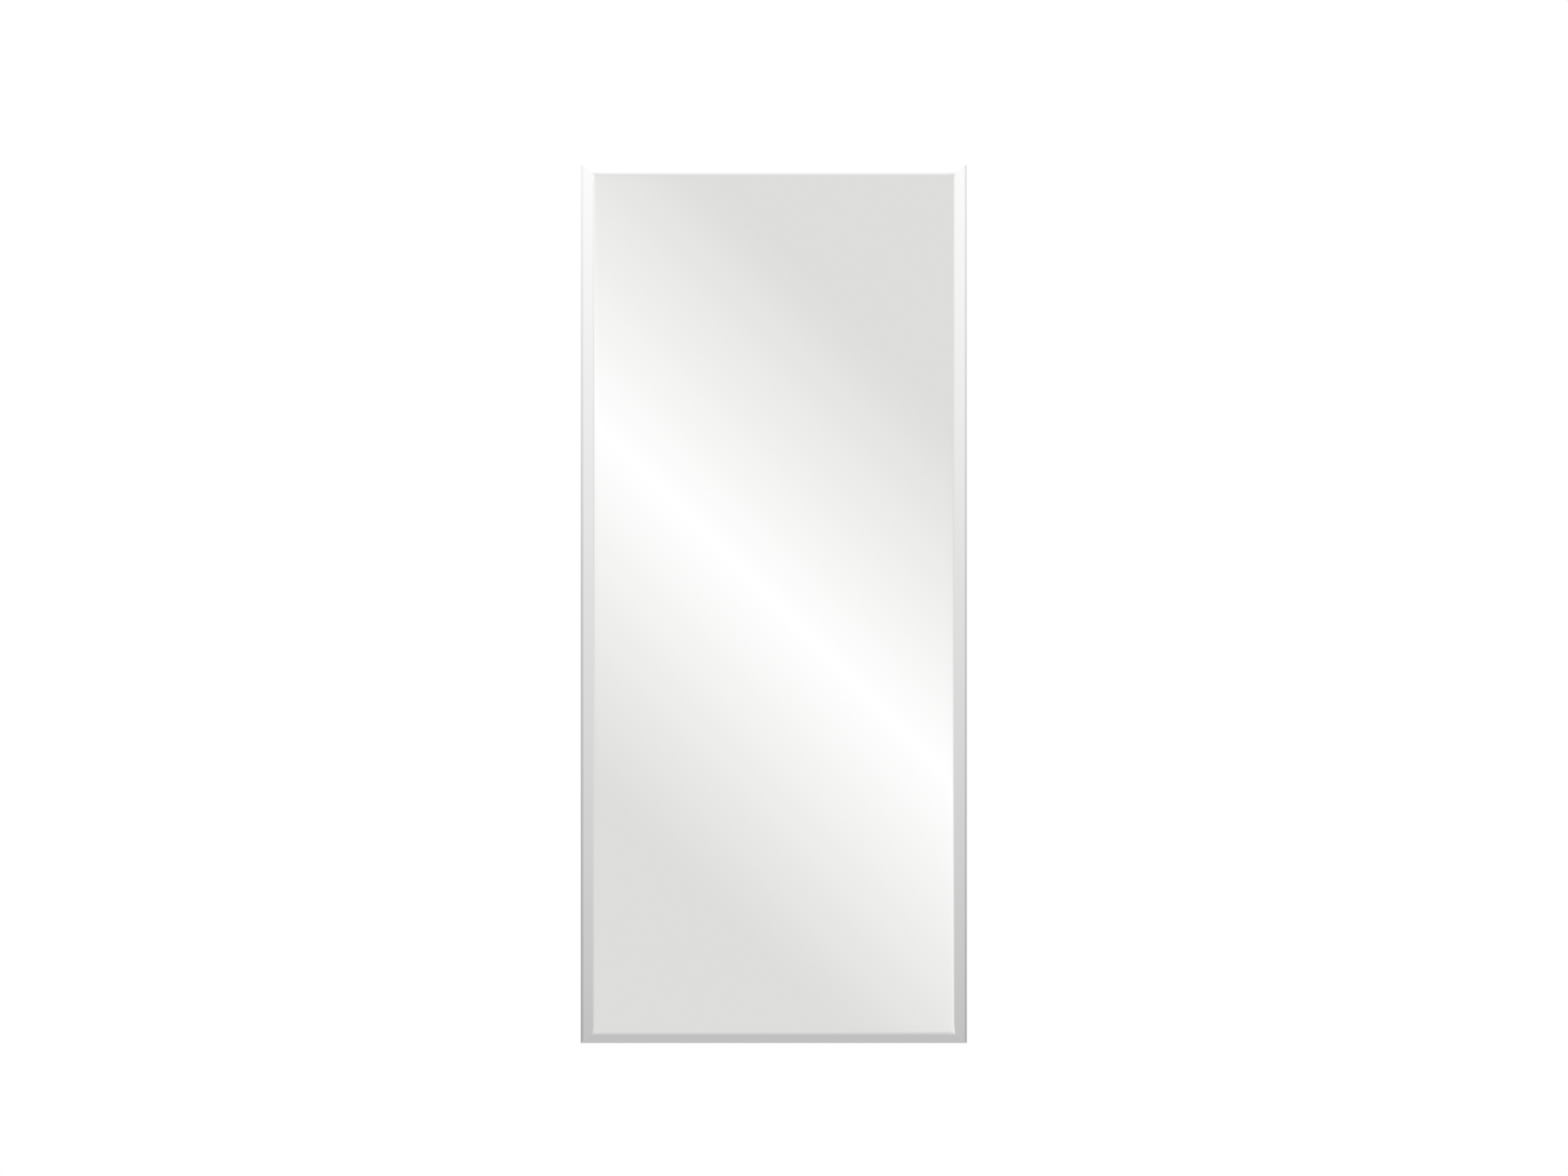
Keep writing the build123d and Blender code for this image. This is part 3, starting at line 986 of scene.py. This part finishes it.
def faded(tree, share, limits):
    """A share that fades away as a side or a rise goes from where its fade starts to its end."""
    for direction, (start, end) in limits:
        size = add_node(tree, "Math", {0: direction}, operation="ABSOLUTE")
        kept = add_node(tree, "MapRange", {
            "Value": size, "From Min": start, "From Max": end, "To Min": 1.0, "To Max": 0.0,
        }, interpolation_type="SMOOTHSTEP")
        share = add_node(tree, "Math", {0: share, 1: kept}, operation="MULTIPLY")
    return share


def studio_world():
    """White behind the mirror, plain light on it, and in it the room that it faces.

    The room is given by direction: pale below, white above, dim at the sides, where soft boxes
    stand, and opposite the glass a bright band that falls from upper left to lower right.
    """
    world = bpy.data.worlds.new("studio")
    world.use_nodes = True
    tree = world.node_tree
    tree.nodes.clear()
    ray = add_node(tree, "TexCoord").outputs["Generated"]
    part = add_node(tree, "SeparateXYZ", {"Vector": ray}).outputs
    square = add_node(tree, "Math", {0: part["X"], 1: part["X"]}, operation="MULTIPLY")
    level = add_node(tree, "Math", {0: part["Y"], 1: part["Y"], 2: square},
                     operation="MULTIPLY_ADD")
    run = add_node(tree, "Math", {0: level}, operation="SQRT")
    slope = add_node(tree, "Math", {0: part["Z"], 1: run}, operation="DIVIDE")
    rise = add_node(tree, "MapRange", {
        "Value": slope, "From Min": -RAMP_REACH, "From Max": RAMP_REACH,
    })
    ahead = add_node(tree, "ValToRGB", {"Fac": rise}, stops=RAMP_AHEAD)
    left = add_node(tree, "ValToRGB", {"Fac": rise}, stops=RAMP_LEFT)
    right = add_node(tree, "ValToRGB", {"Fac": rise}, stops=RAMP_RIGHT)
    on_left = add_node(tree, "Math", {0: part["X"], 1: 0.0}, operation="LESS_THAN")
    beside = add_node(tree, "Mix", {0: on_left, 6: right, 7: left}, data_type="RGBA")
    out = add_node(tree, "Math", {0: part["X"], 1: run}, operation="DIVIDE")
    outwards = add_node(tree, "Math", {0: out}, operation="ABSOLUTE")
    sideways = add_node(tree, "MapRange", {
        "Value": outwards, "From Min": SIDE_FADE[0], "From Max": SIDE_FADE[1],
    }, interpolation_type="SMOOTHSTEP")
    walls = add_node(tree, "Mix", {
        0: sideways, 6: ahead, 7: beside.outputs[2],
    }, data_type="RGBA")

    forward = add_node(tree, "Math", {0: part["Y"], 1: -1.0}, operation="MULTIPLY")
    facing = add_node(tree, "Math", {0: forward, 1: 0.0}, operation="GREATER_THAN")
    leaning = add_node(tree, "Math", {0: out, 1: BAND_LEAN, 2: slope}, operation="MULTIPLY_ADD")
    beyond = add_node(tree, "Math", {0: leaning, 1: BOX_PLACE}, operation="SUBTRACT")
    turn = add_node(tree, "Math", {0: beyond, 1: 2 * math.pi / BOX_SPACING}, operation="MULTIPLY")
    wave = add_node(tree, "Math", {0: turn}, operation="COSINE")
    lit = add_node(tree, "MapRange", {
        "Value": wave, "From Min": BOX_EDGES[0], "From Max": BOX_EDGES[1],
    }, interpolation_type="SMOOTHSTEP")
    glow = add_node(tree, "Math", {0: lit, 1: facing}, operation="MULTIPLY")
    glow = faded(tree, glow, ((out, BOX_SIDE_FADE), (slope, BOX_RISE_FADE)))
    room = add_node(tree, "Mix", {
        0: glow, 6: walls.outputs[2], 7: BOX_TONE,
    }, data_type="RGBA")

    across = add_node(tree, "Math", {0: part["X"], 1: forward}, operation="DIVIDE")
    upwards = add_node(tree, "Math", {0: part["Z"], 1: forward}, operation="DIVIDE")
    lean = add_node(tree, "Math", {0: across, 1: BAND_LEAN, 2: upwards}, operation="MULTIPLY_ADD")
    offset = add_node(tree, "Math", {0: lean, 1: BAND_SHIFT}, operation="ADD")
    away = add_node(tree, "Math", {0: offset}, operation="ABSOLUTE")
    share = add_node(tree, "Math", {0: away, 1: BAND_HALF_WIDTH}, operation="DIVIDE")
    band = add_node(tree, "ValToRGB", {"Fac": share}, stops=BAND_TONES)
    mask = faded(tree, facing, ((across, BAND_SIDE_FADE), (upwards, BAND_RISE_FADE)))
    view = add_node(tree, "Mix", {
        0: mask, 6: room.outputs[2], 7: band,
    }, data_type="RGBA")
    lifted = add_node(tree, "Mix", {
        0: 1.0, 6: view.outputs[2], 7: (1 / SILVER_SHINE,) * 3 + (1.0,),
    }, data_type="RGBA", blend_type="MULTIPLY")

    path = add_node(tree, "LightPath").outputs
    shown = add_node(tree, "Math", {
        0: path["Is Camera Ray"], 1: path["Is Transmission Ray"],
    }, operation="MAXIMUM")
    plain = add_node(tree, "Mix", {
        0: shown, 6: (PLAIN_LIGHT,) * 3 + (1.0,), 7: WHITE,
    }, data_type="RGBA")
    seen = add_node(tree, "Mix", {
        0: path["Is Glossy Ray"], 6: plain.outputs[2], 7: lifted.outputs[2],
    }, data_type="RGBA")
    back = add_node(tree, "Background", {"Color": seen.outputs[2], "Strength": 1.0})
    add_node(tree, "OutputWorld", {"Surface": back})
    return world


def floor_finish(look):
    """A pale matt floor that keeps the shadow and fades into the white away from the mirror."""
    material, tree, shader, place = new_material("pale_floor", Base_Color=look.floor,
                                                 Roughness=0.9)
    reach = add_node(tree, "VectorMath", {0: place}, operation="LENGTH")
    fade = add_node(tree, "MapRange", {
        "Value": reach.outputs["Value"], "From Min": FLOOR_FADE[0], "From Max": FLOOR_FADE[1],
    }, interpolation_type="SMOOTHSTEP")
    path = add_node(tree, "LightPath").outputs
    share = add_node(tree, "Math", {0: fade, 1: path["Is Camera Ray"]}, operation="MULTIPLY")
    white = add_node(tree, "Emission", {"Color": WHITE, "Strength": 1.0})
    mixed = add_node(tree, "MixShader", {0: share, 1: shader, 2: white})
    output = next(node for node in tree.nodes if node.bl_idname == "ShaderNodeOutputMaterial")
    feed(output, {"Surface": mixed})
    return material


class MIRROR_OT_stage(bpy.types.Operator):
    """Makes the camera, the lamps, the world and the floor"""

    bl_idname = "mirror.stage"
    bl_label = "Camera, light and floor"

    def execute(self, context):
        look = context.scene.mirror_studio
        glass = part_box("mirror_glass")[0].y
        camera = bpy.data.cameras.new("camera")
        camera.lens = look.lens
        holder = bpy.data.objects.new("camera", camera)
        holder.location = (look.camera_side, glass - look.distance, look.camera_rise)
        holder.rotation_euler = (math.pi / 2, 0, 0)
        context.scene.collection.objects.link(holder)
        context.scene.camera = holder

        for name, (place, power) in LAMPS.items():
            soft_lamp(name, place, power)
        context.scene.world = studio_world()
        context.scene.view_settings.view_transform = "Standard"

        floor = bmesh.new()
        bmesh.ops.create_circle(floor, segments=96, radius=look.floor_radius, cap_ends=True)
        bmesh.ops.translate(floor, vec=(0, 0, -look.floor_drop), verts=floor.verts)
        piece = finished_piece(floor, "floor", [floor_finish(look)])
        # Seen in the mirror, the floor has the tone of the lower part of the room.
        piece.visible_glossy = False
        return {"FINISHED"}


class MIRROR_PT_builder(bpy.types.Panel):
    """Lists what the mirror is made of"""

    bl_idname = "MIRROR_PT_builder"
    bl_label = "Bathroom mirror"
    bl_space_type = "VIEW_3D"
    bl_region_type = "UI"
    bl_category = "Mirror"

    def draw(self, context):
        layout = self.layout
        for operator in OPERATORS:
            layout.operator(operator.bl_idname)
        for group in GROUPS:
            settings = getattr(context.scene, group)
            box = layout.box()
            box.label(text=group.replace("_", " ").capitalize())
            for name in settings.__annotations__:
                box.prop(settings, name)


GROUPS = {
    "mirror_pane": MirrorPaneSettings,
    "mirror_fixings": MirrorFixingSettings,
    "mirror_studio": MirrorStudioSettings,
}
OPERATORS = (
    MIRROR_OT_stage, MIRROR_OT_pane, MIRROR_OT_coatings, MIRROR_OT_sealant,
    MIRROR_OT_hanging_plates, MIRROR_OT_foam, MIRROR_OT_buffers, MIRROR_OT_rollers,
    MIRROR_OT_screws, MIRROR_OT_plugs,
)


def register():
    for made in (*GROUPS.values(), *OPERATORS, MIRROR_PT_builder):
        bpy.utils.register_class(made)
    for group, settings in GROUPS.items():
        setattr(bpy.types.Scene, group, bpy.props.PointerProperty(type=settings))


def unregister():
    for group in GROUPS:
        delattr(bpy.types.Scene, group)
    for made in reversed((*GROUPS.values(), *OPERATORS, MIRROR_PT_builder)):
        bpy.utils.unregister_class(made)


def main():
    register()
    bpy.ops.mirror.stage()
    bpy.ops.mirror.pane()
    bpy.ops.mirror.coatings()
    bpy.ops.mirror.sealant()
    bpy.ops.mirror.hanging_plates()
    bpy.ops.mirror.foam()
    bpy.ops.mirror.buffers()
    bpy.ops.mirror.rollers()
    bpy.ops.mirror.screws()
    bpy.ops.mirror.plugs()


if __name__ == "__main__":
    main()
